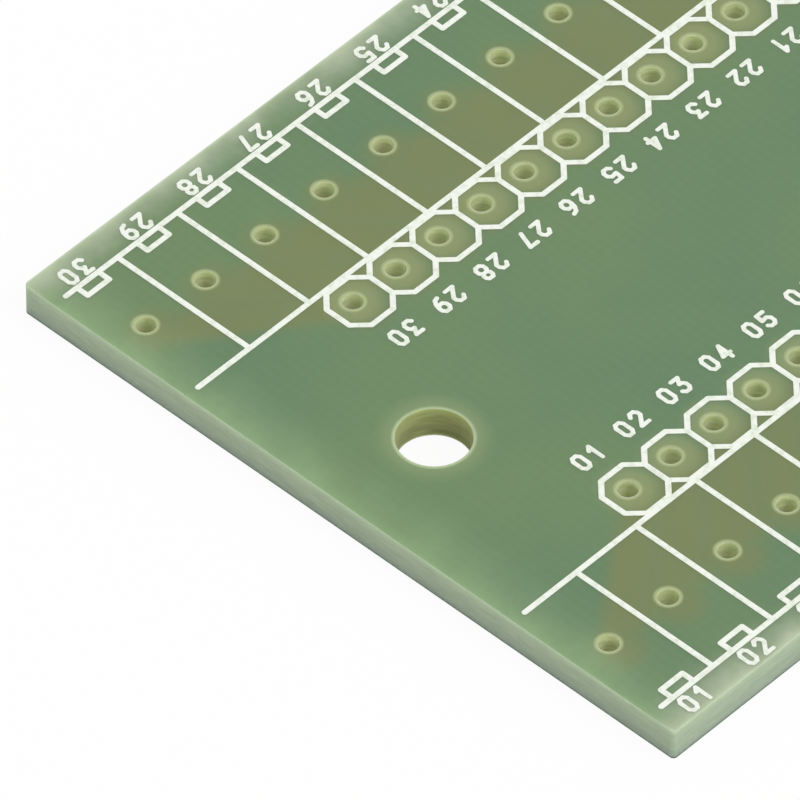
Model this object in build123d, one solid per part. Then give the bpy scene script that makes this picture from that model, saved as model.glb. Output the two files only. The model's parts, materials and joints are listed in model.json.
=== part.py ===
from build123d import *

import os
from math import atan2, degrees, hypot

# Single-sided printed circuit board that fans two rows of header pins out to two rows of
# screw terminal pins. Sizes are in millimetres. The origin is the centre of the underside,
# +X runs along the long side and +Z comes out of the printed face. "near" is the -Y row and
# "far" is the +Y row.

# Pin rows: each header pin has one terminal pin outboard of it
pins_per_row = 15
header_pitch = 2.54
header_row_spacing = 15.24
terminal_pitch = 3.5
terminal_outset = 5.2  # from a header row to its terminal row
pin_hole_diameter = 0.9

# Board outline, measured from the terminal pins
end_margin = 1.75
side_margin = 5.18
board_thickness = 1.6  # solder mask, copper and laminate together
corner_radius = 0.2

# Holes for M3 screws, on the centre line near both ends
mount_hole_diameter = 3.2
mount_hole_inset = 5.2

# Copper conductors on the underside
copper_thickness = 0.035
copper_gap = 0.4  # between neighbouring conductors
header_pad_diameter = 1.9
terminal_pad_diameter = 2.0

# Solder mask over the underside
mask_over_copper = 0.025
mask_pad_gap = 0.05  # from a pad's edge to the mask round it
mask_mount_gap = 0.15  # from a mounting hole's edge to the mask round it

# Legend printed on the upper face, and how far the print lies off the drilled holes
ink_thickness = 0.02
ink_line_width = 0.25
print_offset_x = 0.2
print_offset_y = -0.2
octagon_line_gap = 0.15  # from the octagons to the long line beside them
outer_line_reach = 3.66  # from the terminal row to the long line near the board's edge
cell_end_margin = 0.35  # from the ends of the long lines to the board's ends
octagon_corner_share = 0.5  # of an octagon's half width, cut off at its corners
notch_width = 1.25
notch_depth = 0.62

near, far = -1, 1
middle_pin = (pins_per_row - 1) / 2
header_y = header_row_spacing / 2
terminal_y = header_y + terminal_outset
board_length = (pins_per_row - 1) * terminal_pitch + 2 * end_margin
board_width = 2 * (terminal_y + side_margin)
mount_x = board_length / 2 - mount_hole_inset
inner_line_y = header_y + header_pitch / 2 + octagon_line_gap
outer_line_y = terminal_y + outer_line_reach
laminate_bottom = mask_over_copper + copper_thickness


def header_pin(place, side):
    return (place - middle_pin) * header_pitch, side * header_y


def terminal_pin(place, side):
    return (place - middle_pin) * terminal_pitch, side * terminal_y


def discs(spots, diameter):
    return [Pos(x, y) * Circle(diameter / 2) for x, y in spots]


def header_pins():
    return [header_pin(place, side) for side in (near, far) for place in range(pins_per_row)]


def terminal_pins():
    return [terminal_pin(place, side) for side in (near, far) for place in range(pins_per_row)]


def mount_holes(diameter):
    return discs([(-mount_x, 0), (mount_x, 0)], diameter)


def outline():
    return RectangleRounded(board_length, board_width, corner_radius)


def layer(sketch, bottom, thickness):
    return Pos(0, 0, bottom) * extrude(sketch, thickness)


# Glass-epoxy sheet, drilled for every pin and for the two mounting screws
def laminate():
    holes = discs(header_pins() + terminal_pins(), pin_hole_diameter)
    sheet = outline() - holes - mount_holes(mount_hole_diameter)
    return layer(sheet, laminate_bottom, board_thickness - laminate_bottom)


# Where the line midway between two neighbouring conductors crosses the header row and the
# terminal row, moved along the rows so that it clears that line by half the copper gap
def conductor_edge(boundary, side, towards):
    header_x, header_row = header_pin(boundary, side)
    terminal_x, terminal_row = terminal_pin(boundary, side)
    slope_length = hypot(terminal_x - header_x, terminal_outset)
    clear = towards * copper_gap / 2 * slope_length / terminal_outset
    return (header_x + clear, header_row), (terminal_x + clear, terminal_row)


# Outline of one conductor: two round pads joined by a strip that widens with the pin pitch
# and keeps the copper gap from the neighbours' strips and pads
def conductor_outline(place, side):
    left_header, left_terminal = conductor_edge(place - 0.5, side, 1)
    right_header, right_terminal = conductor_edge(place + 0.5, side, -1)
    corners = [left_header, right_header, right_terminal, left_terminal]
    strip = Polygon(*corners[::side], align=None)  # anticlockwise on both sides
    beside = [other for other in (place - 1, place + 1) if 0 <= other < pins_per_row]
    header_rooms = [header_pin(other, side) for other in beside]
    terminal_rooms = [terminal_pin(other, side) for other in beside]
    strip -= discs(header_rooms, header_pad_diameter + 2 * copper_gap)
    strip -= discs(terminal_rooms, terminal_pad_diameter + 2 * copper_gap)
    pads = discs([header_pin(place, side)], header_pad_diameter)
    pads += discs([terminal_pin(place, side)], terminal_pad_diameter)
    return strip + pads


def track(place, side):
    holes = discs([header_pin(place, side), terminal_pin(place, side)], pin_hole_diameter)
    return layer(conductor_outline(place, side) - holes, mask_over_copper, copper_thickness)


# Pins are numbered along the near row and back along the far row
def track_name(place, side):
    number = place + 1 if side == near else 2 * pins_per_row - place
    return f"track_{number:02d}"


# Cured film that covers the underside and the conductors, open round every pad and screw
def solder_mask(tracks):
    film = outline() - mount_holes(mount_hole_diameter + 2 * mask_mount_gap)
    film -= discs(header_pins(), header_pad_diameter + 2 * mask_pad_gap)
    film -= discs(terminal_pins(), terminal_pad_diameter + 2 * mask_pad_gap)
    return layer(film, 0, laminate_bottom) - tracks


# One inked line with round ends, from point to point
def stroke(start, end):
    run, rise = end[0] - start[0], end[1] - start[1]
    line = SlotCenterToCenter(hypot(run, rise), ink_line_width, rotation=degrees(atan2(rise, run)))
    return Pos((start[0] + end[0]) / 2, (start[1] + end[1]) / 2) * line


def strokes_through(points):
    return [stroke(start, end) for start, end in zip(points, points[1:])]


# Octagon round a header pin; neighbours share their upright sides
def octagon(place, side):
    x, y = header_pin(place, side)
    half = header_pitch / 2
    cut = half * (1 - octagon_corner_share)
    points = [(-half, cut), (-cut, half), (cut, half), (half, cut)]
    points += [(half, -cut), (cut, -half), (-cut, -half), (-half, -cut)]
    closed = [(x + dx, y + dy) for dx, dy in points + points[:1]]
    return strokes_through(closed if place == 0 else closed[:-1])


# Three-sided mark at a terminal's wire entry, closed by the outer line
def entry_notch(place, side):
    x, _ = terminal_pin(place, side)
    left, right = x - notch_width / 2, x + notch_width / 2
    outer = side * outer_line_y
    inner = outer - side * notch_depth
    return strokes_through([(left, outer), (left, inner), (right, inner), (right, outer)])


# Print for one side: octagons round the header pins and one cell for each terminal
def legend(side):
    inner, outer = side * inner_line_y, side * outer_line_y
    reach = (board_length - ink_line_width) / 2 - cell_end_margin
    lines = [stroke((-reach, inner), (reach, inner)), stroke((-reach, outer), (reach, outer))]
    for place in range(pins_per_row):
        lines += octagon(place, side) + entry_notch(place, side)
    for place in range(pins_per_row - 1):
        x, _ = terminal_pin(place + 0.5, side)
        lines.append(stroke((x, inner), (x, outer)))
    print_shape = Sketch() + lines
    return Pos(print_offset_x, print_offset_y) * layer(print_shape, board_thickness, ink_thickness)


def board():
    tracks = {
        track_name(place, side): track(place, side)
        for side in (near, far)
        for place in range(pins_per_row)
    }
    return {
        "laminate": laminate(),
        **tracks,
        "solder_mask": solder_mask(list(tracks.values())),
        "legend_near": legend(near),
        "legend_far": legend(far),
    }


os.makedirs("parts", exist_ok=True)
for node, shape in board().items():
    export_step(shape, f"parts/{node}.step")
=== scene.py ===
import json
import math

import bmesh
import bpy
from mathutils import Matrix, Vector, geometry


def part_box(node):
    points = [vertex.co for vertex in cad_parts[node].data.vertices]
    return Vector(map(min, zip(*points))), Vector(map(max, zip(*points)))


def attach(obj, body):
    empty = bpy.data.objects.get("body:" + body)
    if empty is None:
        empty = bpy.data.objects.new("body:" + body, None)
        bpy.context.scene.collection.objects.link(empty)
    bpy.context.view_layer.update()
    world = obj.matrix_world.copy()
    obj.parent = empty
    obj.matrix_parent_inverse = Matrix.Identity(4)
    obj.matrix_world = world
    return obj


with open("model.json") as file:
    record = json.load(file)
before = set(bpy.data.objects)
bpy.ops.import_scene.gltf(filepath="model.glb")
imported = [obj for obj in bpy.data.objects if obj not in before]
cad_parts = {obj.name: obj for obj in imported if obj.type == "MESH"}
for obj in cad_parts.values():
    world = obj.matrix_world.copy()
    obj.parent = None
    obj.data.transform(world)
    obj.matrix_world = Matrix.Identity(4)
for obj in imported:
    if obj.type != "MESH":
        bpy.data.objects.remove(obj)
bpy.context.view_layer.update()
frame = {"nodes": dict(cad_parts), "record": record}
print("frame loaded:", len(frame["nodes"]), "CAD nodes")

mm = 0.001
mounts = {mount["name"]: mount["dims"] for mount in frame["record"]["mounts"]}
sheetLow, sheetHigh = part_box("laminate")
nearInkLow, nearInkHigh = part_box("legend_near")
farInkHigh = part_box("legend_far")[1]

# The board's layout in millimetres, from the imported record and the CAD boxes
board = {
    "halfLength": sheetHigh.x / mm,
    "halfWidth": sheetHigh.y / mm,
    "sheetTop": sheetHigh.z / mm,
    "sheetBottom": sheetLow.z / mm,
    "inkTop": nearInkHigh.z / mm,
    "lastPin": (mounts["header_pins"]["count"] // 2 - 1) / 2,  # counted from the middle pin
    "headerPitch": mounts["header_pins"]["spacing_x_mm"],
    "headerRow": mounts["header_pins"]["spacing_y_mm"] / 2,
    "terminalPitch": mounts["terminal_pins"]["spacing_x_mm"],
    "terminalRow": mounts["terminal_pins"]["spacing_y_mm"] / 2,
    "pinHoleRadius": mounts["header_pins"]["hole_r_mm"],
    "screwHoleX": mounts["screw_holes"]["spacing_x_mm"] / 2,
    "screwHoleRadius": mounts["screw_holes"]["hole_r_mm"],
    "printShiftX": (nearInkLow.x + nearInkHigh.x) / 2 / mm,
    "printShiftY": (nearInkLow.y + farInkHigh.y) / 2 / mm,
    "outerLineEdge": (farInkHigh.y - nearInkLow.y) / 2 / mm,
}

noiseSpan = (0.3, 0.7)  # between these lie most of a noise texture's values
glassyIor = 1.5  # cured epoxy and the inks made of it


def colour(hexCode):
    parts = [int(hexCode[start:start + 2], 16) / 255 for start in (1, 3, 5)]
    linear = [part / 12.92 if part <= 0.04045 else ((part + 0.055) / 1.055) ** 2.4 for part in parts]
    return (*linear, 1.0)


def addNode(tree, kind, links=(), **settings):
    node = tree.nodes.new("ShaderNode" + kind)
    for name, value in settings.items():
        setattr(node, name, value)
    for socket, value in links.items() if isinstance(links, dict) else enumerate(links):
        if isinstance(value, bpy.types.Node):
            value = value.outputs[0]
        if isinstance(value, bpy.types.NodeSocket):
            tree.links.new(value, node.inputs[socket])
        else:
            node.inputs[socket].default_value = value
    return node


def newMaterial(name, viewColour):
    material = bpy.data.materials.new(name)
    material.use_nodes = True
    material.diffuse_color = colour(viewColour)
    material.node_tree.nodes.clear()
    return material, material.node_tree


# Place on the board in millimetres, from the Object coordinates
def boardPlace(tree):
    coords = addNode(tree, "TexCoord")
    place = addNode(tree, "VectorMath", {0: coords.outputs["Object"], "Scale": 1 / mm}, operation="SCALE")
    axes = addNode(tree, "SeparateXYZ", [place])
    absX = addNode(tree, "Math", [axes.outputs["X"]], operation="ABSOLUTE")
    return place, axes.outputs["X"], axes.outputs["Y"], axes.outputs["Z"], absX


# Distance to the nearest pin centre of the two rows that have this pitch
def pinDistance(tree, absX, absY, pitch, row):
    repeated = addNode(tree, "Math", [absX, pitch / 2], operation="PINGPONG")
    pastLast = addNode(tree, "Math", [absX, board["lastPin"] * pitch], operation="SUBTRACT")
    along = addNode(tree, "Math", [repeated, pastLast], operation="MAXIMUM")
    across = addNode(tree, "Math", [absY, row], operation="SUBTRACT")
    offset = addNode(tree, "CombineXYZ", [along, across])
    return addNode(tree, "VectorMath", [offset], operation="LENGTH").outputs["Value"]


# Where the copper conductors lie: 1 over copper, 0 over bare sheet, soft over the given width
def copperCover(tree, absX, y, look):
    shifted = addNode(tree, "Math", [y, look["shiftY"]], operation="SUBTRACT")
    absY = addNode(tree, "Math", [shifted], operation="ABSOLUTE")
    header, terminal = board["headerRow"], board["terminalRow"]
    pitch = addNode(tree, "MapRange", [absY, header, terminal, board["headerPitch"], board["terminalPitch"]])
    pinsAlong = addNode(tree, "Math", [absX, pitch], operation="DIVIDE")
    soft = look["softness"]
    strip = 1.0
    repeated = addNode(tree, "Math", [pinsAlong, 0.5], operation="PINGPONG")
    pastLast = addNode(tree, "Math", [pinsAlong, board["lastPin"]], operation="SUBTRACT")
    for fromPin, gapShows in ((repeated, look["gapShows"]), (pastLast, 1.0)):
        halfStrip = addNode(tree, "Math", [0.5, fromPin], operation="SUBTRACT")
        toGap = addNode(tree, "Math", [halfStrip, pitch], operation="MULTIPLY")
        gapFrom, gapTo = look["halfGap"] - soft, look["halfGap"] + soft
        edge = addNode(tree, "MapRange", [toGap, gapFrom, gapTo, 1 - gapShows, 1.0],
                       interpolation_type="SMOOTHSTEP")
        strip = addNode(tree, "Math", [strip, edge], operation="MULTIPLY")
    inner = addNode(tree, "MapRange", [absY, header - soft, header + soft, 0.0, 1.0],
                    interpolation_type="SMOOTHSTEP")
    outer = addNode(tree, "MapRange", [absY, terminal - soft, terminal + soft, 1.0, 0.0],
                    interpolation_type="SMOOTHSTEP")
    between = addNode(tree, "Math", [inner, outer], operation="MULTIPLY")
    cover = addNode(tree, "Math", [strip, between], operation="MULTIPLY")
    for row, pitchHere, padRadius in ((header, board["headerPitch"], look["headerPad"]),
                                      (terminal, board["terminalPitch"], look["terminalPad"])):
        distance = pinDistance(tree, absX, absY, pitchHere, row)
        pad = addNode(tree, "MapRange", [distance, padRadius - soft, padRadius + soft, 1.0, 0.0],
                      interpolation_type="SMOOTHSTEP")
        cover = addNode(tree, "Math", [cover, pad], operation="MAXIMUM")
    return cover


# Glass-epoxy laminate (FR-4 type), sheared and drilled: satin resin skin over glass cloth, slightly
# see-through, so the copper and the green film under it show as soft warm and cool areas
epoxySheet = {
    "green": "#5d7f58",
    "greenWarm": "#678458",
    "cloudSize": 9.0,  # mm
    "cloudSpan": (0.35, 0.65),
    "threadPitch": 0.48,  # mm, glass cloth threads
    "threadTone": 0.036,
    "threadPale": "#9db08f",
    "weftShare": 0.45,  # the weft shows less than the warp
    "waverScale": 0.5,  # per mm, how fast a thread wanders
    "waverAngle": 2.5,  # radians of its own pitch
    "overCopper": "#797f4a",
    "copperStrength": 0.8,
    "copperPatch": 0.35,  # per mm, uneven depth of the copper's tone
    "copperPatchLow": 0.85,
    # Seen at a slant through the sheet, so it lies 0.5 mm off the real copper and is blurred
    "copper": {"shiftY": -0.5, "softness": 0.8, "halfGap": 0.2, "gapShows": 0.35,
               "headerPad": 0.95, "terminalPad": 1.0},
    "bandUneven": 0.45,  # per mm, wavy inner side of the pale edge bands
    "bandWaver": (-0.4, 0.5),  # mm
    "bandCurve": 1.8,
    "sideTone": "#b0bba0",
    "sideBand": 2.3,  # mm in from the long sides
    "sideStrength": 0.95,
    "endTone": "#9bb487",
    "endBand": 3.2,  # mm in from the ends
    "endStrength": 0.5,
    "drillTone": "#a9b385",  # resin whitened by the drill
    "drillRing": 0.12,  # mm beyond a pin hole
    "drillRingSoft": (-0.06, 0.09),  # mm
    "drillRingStrength": 0.85,
    "padGlowTone": "#a3ab78",  # light sent back by the header pads
    "padGlow": 0.36,
    "padGlowReach": (0.75, 1.6),  # mm from a header pin
    "screwHaloTone": "#83966a",
    "screwHalo": 1.1,  # mm beyond a screw hole
    "screwHaloStrength": 0.75,
    "rimTone": "#b4c39d",
    "rimReach": (0.05, 0.19),  # mm beyond a screw hole: a painted highlight along its top edge
    "rimStrength": 0.7,
    # Cut sides, darker towards the bottom, with a painted highlight along their top edge
    "sideTop": "#a9ba9c",
    "sideBottom": "#94a490",
    "sideRim": "#bccab2",
    # Walls of the screw holes: painted shade, darker towards the bottom
    "boreTop": "#adb478",
    "boreBottom": "#8a8e5c",
    # Pin bores: painted light, paler than the screw holes' walls and palest towards the bottom, as if light
    # came through their thin walls
    "pinBoreTop": "#c4cc9e",
    "pinBoreBottom": "#eef1cd",
    "plyHeight": 0.19,  # mm, one layer of cloth
    "plyTone": 0.02,
    "streakStretch": (0.9, 0.9, 6.0),  # per mm, streaks lie along a cut wall
    "streakTone": 0.3,
    "topRim": (0.8, 0.35),  # share of the height where the painted highlight along the top edge begins, and its strength
    "boreReach": 0.1,  # mm beyond a pin hole's wall that still counts as the wall
    "cutMargin": 1.0,  # mm in from the outline, where walls are bores and not cut sides
    "speckScale": 9.0,  # per mm
    "threadRelief": 0.3,
    "wallRelief": 12.0,
    "reliefHeight": 0.002,  # mm
    "wallRoughness": 0.3,  # added on cut walls
    "roughness": 0.36,
    "glow": 0.6,  # share of light that spreads inside the sheet
    "glowReach": (0.7, 0.9, 0.6),  # mm
}


def makeEpoxySheet():
    look = epoxySheet
    material, tree = newMaterial("glassEpoxySheet", look["green"])
    place, x, y, z, absX = boardPlace(tree)
    absY = addNode(tree, "Math", [y], operation="ABSOLUTE")

    # Cloudy resin, and glass threads that run both ways
    clouds = addNode(tree, "TexNoise", {"Vector": place, "Scale": 1 / look["cloudSize"], "Detail": 3.0})
    cloudShare = addNode(tree, "MapRange", [clouds, *look["cloudSpan"], 0.0, 1.0])
    skin = addNode(tree, "MixRGB", [cloudShare, colour(look["green"]), colour(look["greenWarm"])])
    waver = addNode(tree, "TexNoise", {"Vector": place, "Scale": look["waverScale"], "Detail": 1.0})
    waverAngle = addNode(tree, "Math", [waver, look["waverAngle"]], operation="MULTIPLY")
    turns = 2 * math.pi / look["threadPitch"]
    threads = []
    for axis in (x, y):
        angle = addNode(tree, "Math", [axis, turns, waverAngle], operation="MULTIPLY_ADD")
        threads.append(addNode(tree, "Math", [angle], operation="SINE"))
    weft = addNode(tree, "Math", [threads[1], look["weftShare"]], operation="MULTIPLY")
    weave = addNode(tree, "Math", [threads[0], weft], operation="ADD")
    threadShare = addNode(tree, "MapRange", [weave, -1.4, 1.4, 0.0, look["threadTone"]])
    skin = addNode(tree, "MixRGB", [threadShare, skin, colour(look["threadPale"])])

    # Copper under the sheet
    cover = copperCover(tree, absX, y, look["copper"])
    patch = addNode(tree, "TexNoise", {"Vector": place, "Scale": look["copperPatch"], "Detail": 2.0})
    strongest = look["copperStrength"]
    patchShare = addNode(tree, "MapRange", [patch, *noiseSpan, strongest * look["copperPatchLow"], strongest])
    copperShare = addNode(tree, "Math", [cover, patchShare], operation="MULTIPLY")
    skin = addNode(tree, "MixRGB", [copperShare, skin, colour(look["overCopper"])])

    # Paler band along the cut edges, where light comes in from the side
    uneven = addNode(tree, "TexNoise", {"Vector": place, "Scale": look["bandUneven"], "Detail": 4.0})
    unevenBy = addNode(tree, "MapRange", [uneven, *noiseSpan, *look["bandWaver"]])
    for absAxis, half, edge in ((absX, board["halfLength"], "end"), (absY, board["halfWidth"], "side")):
        inward = addNode(tree, "Math", [half, absAxis], operation="SUBTRACT")
        unevenInward = addNode(tree, "Math", [inward, unevenBy], operation="ADD")
        fade = addNode(tree, "MapRange", [unevenInward, 0.0, look[edge + "Band"], 1.0, 0.0])
        curved = addNode(tree, "Math", [fade, look["bandCurve"]], operation="POWER")
        bandShare = addNode(tree, "Math", [curved, look[edge + "Strength"]], operation="MULTIPLY")
        skin = addNode(tree, "MixRGB", [bandShare, skin, colour(look[edge + "Tone"])])

    # Rings round the holes: light sent back by the header pads, resin whitened by the drill round the pin
    # holes, and round the screw holes a paler halo and a painted highlight along their top edge
    headerAway = pinDistance(tree, absX, absY, board["headerPitch"], board["headerRow"])
    terminalAway = pinDistance(tree, absX, absY, board["terminalPitch"], board["terminalRow"])
    pinAway = addNode(tree, "Math", [headerAway, terminalAway], operation="MINIMUM")
    padGlow = addNode(tree, "MapRange", [headerAway, *look["padGlowReach"], look["padGlow"], 0.0],
                      interpolation_type="SMOOTHSTEP")
    skin = addNode(tree, "MixRGB", [padGlow, skin, colour(look["padGlowTone"])])
    ringFrom, ringTo = (board["pinHoleRadius"] + look["drillRing"] + soft for soft in look["drillRingSoft"])
    ring = addNode(tree, "MapRange", [pinAway, ringFrom, ringTo, look["drillRingStrength"], 0.0],
                   interpolation_type="SMOOTHSTEP")
    fromScrewX = addNode(tree, "Math", [absX, board["screwHoleX"]], operation="SUBTRACT")
    fromScrew = addNode(tree, "CombineXYZ", [fromScrewX, y])
    screwAway = addNode(tree, "VectorMath", [fromScrew], operation="LENGTH").outputs["Value"]
    screwEdge = board["screwHoleRadius"]
    haloTo = screwEdge + look["screwHalo"]
    halo = addNode(tree, "MapRange", [screwAway, screwEdge, haloTo, look["screwHaloStrength"], 0.0],
                   interpolation_type="SMOOTHSTEP")
    # Painted highlight along the top edge of the screw holes
    rimFrom, rimTo = (screwEdge + reach for reach in look["rimReach"])
    rim = addNode(tree, "MapRange", [screwAway, rimFrom, rimTo, look["rimStrength"], 0.0],
                  interpolation_type="SMOOTHSTEP")
    skin = addNode(tree, "MixRGB", [halo, skin, colour(look["screwHaloTone"])])
    skin = addNode(tree, "MixRGB", [rim, skin, colour(look["rimTone"])])
    skin = addNode(tree, "MixRGB", [ring, skin, colour(look["drillTone"])])

    # Cut sides and drilled walls: layers of cloth and a painted highlight along the top edge. Cut sides are
    # darker towards the bottom; the screw holes' walls get painted shade towards the bottom, and the pin bores
    # get painted light that makes them paler, most towards the bottom.
    height = addNode(tree, "MapRange", [z, board["sheetBottom"], board["sheetTop"], 0.0, 1.0])
    plyTurns = 2 * math.pi / look["plyHeight"]
    plyAngle = addNode(tree, "Math", [z, plyTurns, waverAngle], operation="MULTIPLY_ADD")
    ply = addNode(tree, "Math", [plyAngle], operation="SINE")
    streakPlace = addNode(tree, "VectorMath", [place, look["streakStretch"]], operation="MULTIPLY")
    streaks = addNode(tree, "TexNoise", {"Vector": streakPlace, "Scale": 1.0, "Detail": 4.0})
    streakShare = addNode(tree, "MapRange", [streaks, *noiseSpan, -look["streakTone"], look["streakTone"]])
    sideHeight = addNode(tree, "Math", [ply, look["plyTone"], height], operation="MULTIPLY_ADD")
    sideMix = addNode(tree, "Math", [sideHeight, streakShare], operation="ADD", use_clamp=True)
    cutSide = addNode(tree, "MixRGB", [sideMix, colour(look["sideBottom"]), colour(look["sideTop"])])
    # Painted highlight along the top edge of the cut sides
    rimStart, rimMost = look["topRim"]
    rimHighlightShare = addNode(tree, "MapRange", [height, rimStart, 1.0, 0.0, rimMost],
                       interpolation_type="SMOOTHSTEP")
    cutSide = addNode(tree, "MixRGB", [rimHighlightShare, cutSide, colour(look["sideRim"])])
    # Drilled walls: painted shade on the screw holes, painted light on the pin bores
    bore = addNode(tree, "MixRGB", [sideMix, colour(look["boreBottom"]), colour(look["boreTop"])])
    pinBore = addNode(tree, "MixRGB", [sideMix, colour(look["pinBoreBottom"]), colour(look["pinBoreTop"])])
    isPinBore = addNode(tree, "Math", [pinAway, board["pinHoleRadius"] + look["boreReach"]],
                        operation="LESS_THAN")
    bore = addNode(tree, "MixRGB", [isPinBore, bore, pinBore])
    insideX = addNode(tree, "Math", [absX, board["halfLength"] - look["cutMargin"]], operation="LESS_THAN")
    insideY = addNode(tree, "Math", [absY, board["halfWidth"] - look["cutMargin"]], operation="LESS_THAN")
    isBore = addNode(tree, "Math", [insideX, insideY], operation="MULTIPLY")
    wall = addNode(tree, "MixRGB", [isBore, cutSide, bore])
    normal = addNode(tree, "SeparateXYZ", [addNode(tree, "NewGeometry").outputs["True Normal"]])
    upright = addNode(tree, "Math", [normal.outputs["Z"]], operation="ABSOLUTE")
    isWall = addNode(tree, "Math", [upright, 0.5], operation="LESS_THAN")
    tone = addNode(tree, "MixRGB", [isWall, skin, wall])

    # Skin relief: threads just telegraph through the resin; cut walls are rougher
    speck = addNode(tree, "TexNoise", {"Vector": place, "Scale": look["speckScale"], "Detail": 2.0})
    smoothest, roughest = look["roughness"] - 0.05, look["roughness"] + 0.07
    roughSkin = addNode(tree, "MapRange", [speck, *noiseSpan, smoothest, roughest])
    roughness = addNode(tree, "Math", [isWall, look["wallRoughness"], roughSkin], operation="MULTIPLY_ADD")
    relief = addNode(tree, "Math", [weave, look["threadRelief"], speck], operation="MULTIPLY_ADD")
    wallRelief = addNode(tree, "Math", [streaks, isWall], operation="MULTIPLY")
    allRelief = addNode(tree, "Math", [wallRelief, look["wallRelief"], relief], operation="MULTIPLY_ADD")
    bump = addNode(tree, "Bump", {"Strength": 1.0, "Distance": look["reliefHeight"] * mm, "Height": allRelief})
    surface = addNode(tree, "BsdfPrincipled", {
        "Base Color": tone, "Roughness": roughness, "IOR": glassyIor, "Subsurface Weight": look["glow"],
        "Subsurface Radius": look["glowReach"], "Subsurface Scale": mm, "Normal": bump})
    addNode(tree, "OutputMaterial", {"Surface": surface})
    return material


# Screen-printed epoxy ink: matte white, thin enough that its edges and weak spots let the green through
legendInk = {
    "white": "#eef2e8",
    "thin": "#d5dfca",
    "weakSpotSize": 0.25,  # mm
    "weakSpan": (0.45, 0.75),
    "reliefHeight": 0.004,  # mm
    "roughness": 0.55,
}


def makeLegendInk():
    look = legendInk
    material, tree = newMaterial("screenPrintedInk", look["white"])
    place = boardPlace(tree)[0]
    weak = addNode(tree, "TexNoise", {"Vector": place, "Scale": 1 / look["weakSpotSize"], "Detail": 3.0})
    weakShare = addNode(tree, "MapRange", [weak, *look["weakSpan"], 0.0, 1.0])
    tone = addNode(tree, "MixRGB", [weakShare, colour(look["white"]), colour(look["thin"])])
    smoothest, roughest = look["roughness"] - 0.08, look["roughness"] + 0.1
    rough = addNode(tree, "MapRange", [weak, *noiseSpan, smoothest, roughest])
    bump = addNode(tree, "Bump", {"Strength": 1.0, "Distance": look["reliefHeight"] * mm, "Height": weak})
    surface = addNode(tree, "BsdfPrincipled", {
        "Base Color": tone, "Roughness": rough, "IOR": glassyIor, "Normal": bump})
    addNode(tree, "OutputMaterial", {"Surface": surface})
    return material


# Liquid solder mask, cured: glossy green film, paler where it lies over copper, which stands proud
maskFilm = {
    "green": "#2c6a3c",
    "thinGreen": "#3a7a47",
    "thinShare": 0.35,
    "overCopper": "#4f8a48",
    "overCopperStrength": 0.85,
    "copper": {"shiftY": 0.0, "softness": 0.07, "halfGap": 0.2, "gapShows": 1.0,
               "headerPad": 0.95, "terminalPad": 1.0},
    "copperStep": 0.035,  # mm, foil thickness
    "flowSize": 1.6,  # mm, uneven flow of the wet film
    "flowRelief": 0.25,  # of the copper step
    "grainScale": 12.0,  # per mm
    "grainRelief": 0.02,
    "ior": 1.52,
    "roughness": 0.2,
}


def makeMaskFilm():
    look = maskFilm
    material, tree = newMaterial("curedSolderMask", look["green"])
    place, _, y, _, absX = boardPlace(tree)
    cover = copperCover(tree, absX, y, look["copper"])
    flow = addNode(tree, "TexNoise", {"Vector": place, "Scale": 1 / look["flowSize"], "Detail": 4.0})
    flowShare = addNode(tree, "MapRange", [flow, *noiseSpan, 0.0, look["thinShare"]])
    film = addNode(tree, "MixRGB", [flowShare, colour(look["green"]), colour(look["thinGreen"])])
    overShare = addNode(tree, "Math", [cover, look["overCopperStrength"]], operation="MULTIPLY")
    tone = addNode(tree, "MixRGB", [overShare, film, colour(look["overCopper"])])
    grain = addNode(tree, "TexNoise", {"Vector": place, "Scale": look["grainScale"], "Detail": 2.0})
    smoothest, roughest = look["roughness"] - 0.04, look["roughness"] + 0.08
    rough = addNode(tree, "MapRange", [grain, *noiseSpan, smoothest, roughest])
    waves = addNode(tree, "Math", [flow, look["flowRelief"], cover], operation="MULTIPLY_ADD")
    relief = addNode(tree, "Math", [grain, look["grainRelief"], waves], operation="MULTIPLY_ADD")
    bump = addNode(tree, "Bump", {"Strength": 1.0, "Distance": look["copperStep"] * mm, "Height": relief})
    surface = addNode(tree, "BsdfPrincipled", {
        "Base Color": tone, "Roughness": rough, "IOR": look["ior"], "Normal": bump})
    addNode(tree, "OutputMaterial", {"Surface": surface})
    return material


# Etched copper foil with hot-air-levelled tin on its open pads: bright, a little lumpy
tinnedPads = {
    "tin": "#d3d4d0",
    "dullTin": "#b3b4ae",
    "dullSpan": (0.4, 0.7),
    "dullShare": 0.8,
    "lumpSize": 0.7,  # mm
    "lumpHeight": 0.03,  # mm
    "roughness": 0.27,
}


def makeTinnedPads():
    look = tinnedPads
    material, tree = newMaterial("tinnedCopper", look["tin"])
    place = boardPlace(tree)[0]
    lumps = addNode(tree, "TexNoise", {"Vector": place, "Scale": 1 / look["lumpSize"], "Detail": 3.0})
    dullShare = addNode(tree, "MapRange", [lumps, *look["dullSpan"], 0.0, look["dullShare"]])
    tone = addNode(tree, "MixRGB", [dullShare, colour(look["tin"]), colour(look["dullTin"])])
    smoothest, roughest = look["roughness"] - 0.07, look["roughness"] + 0.12
    rough = addNode(tree, "MapRange", [lumps, *noiseSpan, smoothest, roughest])
    bump = addNode(tree, "Bump", {"Strength": 1.0, "Distance": look["lumpHeight"] * mm, "Height": lumps})
    surface = addNode(tree, "BsdfPrincipled", {
        "Base Color": tone, "Metallic": 1.0, "Roughness": rough, "Normal": bump})
    addNode(tree, "OutputMaterial", {"Surface": surface})
    return material


sheetMaterial, inkMaterial = makeEpoxySheet(), makeLegendInk()
filmMaterial, padMaterial = makeMaskFilm(), makeTinnedPads()
for name, node in frame["nodes"].items():
    if name == "laminate":
        finish = sheetMaterial
    elif name == "solder_mask":
        finish = filmMaterial
    elif name.startswith("legend"):
        finish = inkMaterial
    else:
        finish = padMaterial
    node.data.materials.clear()
    node.data.materials.append(finish)
print("board finishes made")


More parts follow.
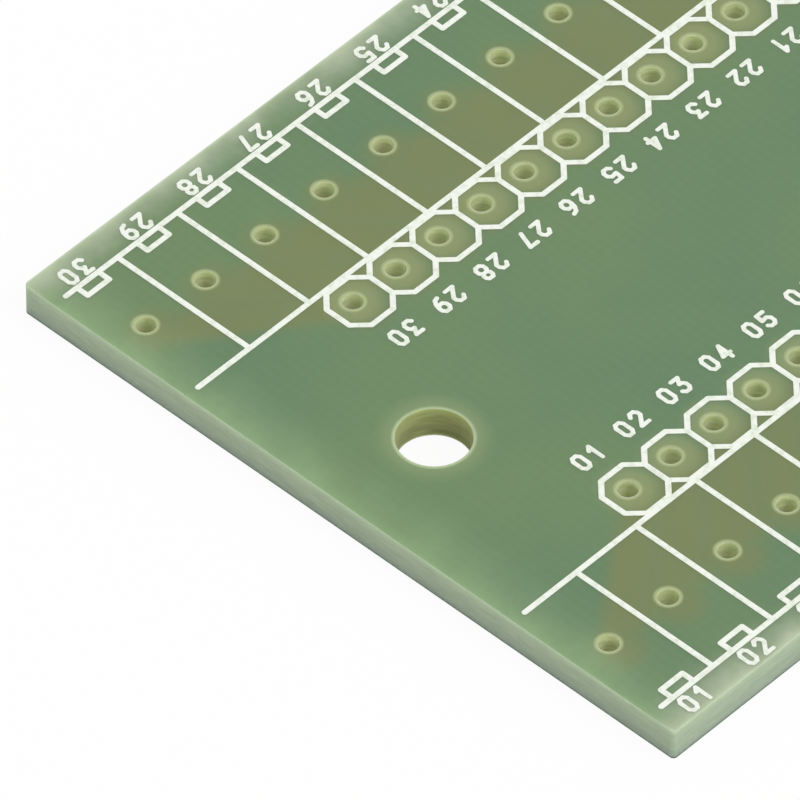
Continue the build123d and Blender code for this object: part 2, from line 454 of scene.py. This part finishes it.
# Printed pin numbers, drawn with a round pen. Each digit is one pen stroke through points in a cell
# that is 1 wide and 1 high.
pinNumbers = {
    "height": 1.0,  # mm
    "width": 0.62,
    "spacing": 0.84,  # from digit to digit
    "pen": 0.2,
    "penSides": 12,
    "mergeDistance": 0.002,  # mm, crossings closer than this are one
    "flatAngle": 2.0,  # degrees, bends smaller than this are straightened
    "headerInset": 2.56,  # mm from the header row to the middle of its numbers
    "terminalOutset": 0.55,  # mm from the outer line's far side to the middle of the numbers
    "strokes": {
        "0": [(0.25, 0), (0.75, 0), (1, 0.2), (1, 0.8), (0.75, 1), (0.25, 1), (0, 0.8), (0, 0.2), (0.25, 0)],
        "1": [(0.1, 0.75), (0.5, 1), (0.5, 0)],
        "2": [(0, 0.8), (0.25, 1), (0.75, 1), (1, 0.8), (1, 0.62), (0, 0), (1, 0)],
        "3": [(0.05, 1), (0.95, 1), (0.45, 0.6), (0.75, 0.6), (1, 0.42), (1, 0.18), (0.75, 0), (0.25, 0),
              (0, 0.16)],
        "4": [(0.72, 0), (0.72, 1), (0, 0.3), (1, 0.3)],
        "5": [(0.95, 1), (0.1, 1), (0.04, 0.55), (0.7, 0.6), (1, 0.42), (1, 0.18), (0.75, 0), (0.25, 0),
              (0, 0.14)],
        "6": [(0.85, 1), (0.42, 0.92), (0.1, 0.65), (0, 0.38), (0, 0.18), (0.25, 0), (0.75, 0), (1, 0.18),
              (1, 0.38), (0.75, 0.56), (0.25, 0.56), (0, 0.38)],
        "7": [(0, 1), (1, 1), (0.35, 0)],
        "8": [(0.25, 0.55), (0, 0.39), (0, 0.16), (0.25, 0), (0.75, 0), (1, 0.16), (1, 0.39), (0.75, 0.55),
              (0.25, 0.55), (0.05, 0.7), (0.05, 0.85), (0.25, 1), (0.75, 1), (0.95, 0.85), (0.95, 0.7),
              (0.75, 0.55)],
        "9": [(0.15, 0), (0.58, 0.08), (0.9, 0.35), (1, 0.62), (1, 0.82), (0.75, 1), (0.25, 1), (0, 0.82),
              (0, 0.62), (0.25, 0.44), (0.75, 0.44), (1, 0.62)],
    },
}


# One straight touch of the pen seen from above: a disc pulled out to both ends of its run
def penTouch(start, end):
    radius = pinNumbers["pen"] / 2
    touch = bmesh.new()
    circle = bmesh.ops.create_circle(touch, cap_ends=False, segments=pinNumbers["penSides"], radius=radius)
    disc = circle["verts"]
    run = end - start
    beside = 0.001 * radius * run.length  # up to here a corner lies beside the run and stays at its start
    ahead = [vert for vert in disc if vert.co.dot(run) > beside]
    bmesh.ops.translate(touch, verts=disc, vec=start)
    bmesh.ops.translate(touch, verts=ahead, vec=run)
    corners = [vert.co.xy.copy() for vert in disc]
    touch.free()
    return corners


def meshObject(name, shape):
    mesh = bpy.data.meshes.new(name)
    shape.to_mesh(mesh)
    shape.free()
    piece = bpy.data.objects.new(name, mesh)
    bpy.context.scene.collection.objects.link(piece)
    return piece


# The touches of one digit merged flat into a single outline, then raised to the ink's thickness, in
# millimetres and centred on the digit's own cell
def makeDigit(digit):
    size = Vector((pinNumbers["width"] - pinNumbers["pen"], pinNumbers["height"] - pinNumbers["pen"]))
    bends = [Vector(((x - 0.5) * size.x, (y - 0.5) * size.y, 0)) for x, y in pinNumbers["strokes"][digit]]
    corners, touches = [], []
    for start, end in zip(bends, bends[1:]):
        outline = penTouch(start, end)
        touches.append(list(range(len(corners), len(corners) + len(outline))))
        corners += outline
    insideOnly, nearest = 1, 0.00001
    spots, _, patches, _, _, covers = geometry.delaunay_2d_cdt(corners, [], touches, insideOnly, nearest)
    shape = bmesh.new()
    flat = [shape.verts.new((spot.x, spot.y, 0)) for spot in spots]
    for patch, cover in zip(patches, covers):
        if cover:  # a patch that no touch covers is a hole, as inside a 0
            shape.faces.new([flat[place] for place in patch])
    bmesh.ops.delete(shape, geom=[vert for vert in shape.verts if not vert.link_faces], context="VERTS")
    bmesh.ops.remove_doubles(shape, verts=shape.verts[:], dist=pinNumbers["mergeDistance"])
    bmesh.ops.dissolve_degenerate(shape, edges=shape.edges[:], dist=pinNumbers["mergeDistance"])
    shape.normal_update()
    flatAngle = math.radians(pinNumbers["flatAngle"])
    bmesh.ops.dissolve_limit(shape, angle_limit=flatAngle, verts=shape.verts[:], edges=shape.edges[:])
    raised = bmesh.ops.extrude_face_region(shape, geom=shape.faces[:])["geom"]
    top = [item for item in raised if isinstance(item, bmesh.types.BMVert)]
    bmesh.ops.translate(shape, verts=top, vec=(0, 0, board["inkTop"] - board["sheetTop"]))
    bmesh.ops.recalc_face_normals(shape, faces=shape.faces[:])
    mesh = bpy.data.meshes.new("digit" + digit)
    shape.to_mesh(mesh)
    shape.free()
    return mesh


# One row of pin numbers as a single piece of ink; numbers beside the far rows face the other way
def makeNumberRow(name, numbers, pitch, rowY, facing):
    halfTurn = Matrix.Rotation(math.pi, 4, "Z")
    row = bmesh.new()
    for place, number in enumerate(numbers):
        middleX = (place - board["lastPin"]) * pitch + board["printShiftX"]
        for position, digit in enumerate(f"{number:02d}"):
            along = facing * (position - 0.5) * pinNumbers["spacing"]
            before = len(row.verts)
            row.from_mesh(digitMeshes[digit])
            row.verts.ensure_lookup_table()
            fresh = row.verts[before:]
            if facing < 0:
                bmesh.ops.rotate(row, verts=fresh, cent=(0, 0, 0), matrix=halfTurn)
            target = (middleX + along, rowY + board["printShiftY"], board["sheetTop"])
            bmesh.ops.translate(row, verts=fresh, vec=target)
    bmesh.ops.scale(row, verts=row.verts[:], vec=(mm, mm, mm))
    piece = meshObject(name, row)
    piece.data.materials.append(inkMaterial)
    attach(piece, "root")


digitMeshes = {digit: makeDigit(digit) for digit in pinNumbers["strokes"]}
pinsPerRow = int(2 * board["lastPin"] + 1)
nearNumbers = range(1, pinsPerRow + 1)
farNumbers = range(2 * pinsPerRow, pinsPerRow, -1)
headerNumbersY = board["headerRow"] - pinNumbers["headerInset"]
terminalNumbersY = board["outerLineEdge"] + pinNumbers["terminalOutset"]
makeNumberRow("numbers_near_header", nearNumbers, board["headerPitch"], -headerNumbersY, 1)
makeNumberRow("numbers_near_terminal", nearNumbers, board["terminalPitch"], -terminalNumbersY, 1)
makeNumberRow("numbers_far_header", farNumbers, board["headerPitch"], headerNumbersY, -1)
makeNumberRow("numbers_far_terminal", farNumbers, board["terminalPitch"], terminalNumbersY, -1)
print("pin numbers printed")


# Floor and light of a plain studio
studio = {
    "floorHalf": 6.0,  # m
    "floorDrop": 0.05,  # mm under the board
    "floorColour": "#f1f1ee",
    "scuffColour": "#e6e6e2",
    "scuffScale": 30.0,  # per m
    "scuffShare": 0.15,
    "floorGlow": 0.94,  # share of plain white that the camera sees, the rest is lit floor
    "skyLight": 0.8,
    "keyPower": 20.0,  # W
    "keySize": 1.2,  # m
    "keyPlace": (0.5, -1.5, 1.7),  # m
}


def makeFloor():
    shape = bmesh.new()
    bmesh.ops.create_grid(shape, x_segments=1, y_segments=1, size=studio["floorHalf"])
    bmesh.ops.translate(shape, verts=shape.verts[:], vec=(0, 0, -studio["floorDrop"] * mm))
    floor = meshObject("studioFloor", shape)
    material, tree = newMaterial("paintedStudioFloor", studio["floorColour"])
    rays = addNode(tree, "LightPath")
    scuffs = addNode(tree, "TexNoise", {"Scale": studio["scuffScale"], "Detail": 3.0})
    scuffShare = addNode(tree, "MapRange", [scuffs, *noiseSpan, 0.0, studio["scuffShare"]])
    paint = addNode(tree, "MixRGB", [scuffShare, colour(studio["floorColour"]), colour(studio["scuffColour"])])
    lit = addNode(tree, "BsdfDiffuse", {"Color": paint})
    white = addNode(tree, "Emission", {"Color": (1, 1, 1, 1), "Strength": 1.0})
    cameraRay, glossyRay = rays.outputs["Is Camera Ray"], rays.outputs["Is Glossy Ray"]
    seen = addNode(tree, "Math", [cameraRay, glossyRay], operation="MAXIMUM")
    glowShare = addNode(tree, "Math", [seen, studio["floorGlow"]], operation="MULTIPLY")
    painted = addNode(tree, "MixShader", [glowShare, lit, white])
    # Clear from below and at the contact, so that the underside can be seen and gets light
    below = addNode(tree, "NewGeometry").outputs["Backfacing"]
    contactReach = 4 * studio["floorDrop"] * mm
    contact = addNode(tree, "Math", [rays.outputs["Ray Length"], contactReach], operation="LESS_THAN")
    clearShare = addNode(tree, "Math", [below, contact], operation="MAXIMUM")
    clear = addNode(tree, "BsdfTransparent")
    surface = addNode(tree, "MixShader", [clearShare, painted, clear])
    addNode(tree, "OutputMaterial", {"Surface": surface})
    floor.data.materials.append(material)


def makeLight():
    world = bpy.data.worlds.new("studioSky")
    bpy.context.scene.world = world
    world.use_nodes = True
    tree = world.node_tree
    tree.nodes.clear()
    rays = addNode(tree, "LightPath")
    cameraRay, glossyRay = rays.outputs["Is Camera Ray"], rays.outputs["Is Glossy Ray"]
    seen = addNode(tree, "Math", [cameraRay, glossyRay], operation="MAXIMUM")
    level = addNode(tree, "MapRange", [seen, 0.0, 1.0, studio["skyLight"], 1.0])
    sky = addNode(tree, "Background", {"Color": (1, 1, 1, 1), "Strength": level})
    addNode(tree, "OutputWorld", {"Surface": sky})
    key = bpy.data.lights.new("softKey", "AREA")
    key.energy, key.shape, key.size = studio["keyPower"], "DISK", studio["keySize"]
    lamp = bpy.data.objects.new("softKey", key)
    lamp.location = studio["keyPlace"]
    lamp.rotation_mode = "QUATERNION"
    lamp.rotation_quaternion = (-Vector(studio["keyPlace"])).to_track_quat("-Z", "Y")
    lamp.visible_camera = False
    bpy.context.scene.collection.objects.link(lamp)


# Long lens, turned to the left end of the board
camera = {
    "target": (-19.92, 2.957, 0.8),  # mm
    "azimuth": 223.386,  # degrees from +X round to the camera
    "elevation": 46.396,
    "distance": 750.4,  # mm
    "lens": 835.2,  # mm
    "sensor": 36.0,  # mm
}


def makeCamera():
    turn, rise = math.radians(camera["azimuth"]), math.radians(camera["elevation"])
    back = Vector((math.cos(turn) * math.cos(rise), math.sin(turn) * math.cos(rise), math.sin(rise)))
    data = bpy.data.cameras.new("longLens")
    data.lens, data.sensor_width = camera["lens"], camera["sensor"]
    view = bpy.data.objects.new("longLens", data)
    view.location = (Vector(camera["target"]) + back * camera["distance"]) * mm
    view.rotation_mode = "QUATERNION"
    view.rotation_quaternion = (-back).to_track_quat("-Z", "Y")
    bpy.context.scene.collection.objects.link(view)
    bpy.context.scene.camera = view


makeFloor()
makeLight()
makeCamera()
bpy.context.scene.view_settings.view_transform = "Standard"
print("studio ready")
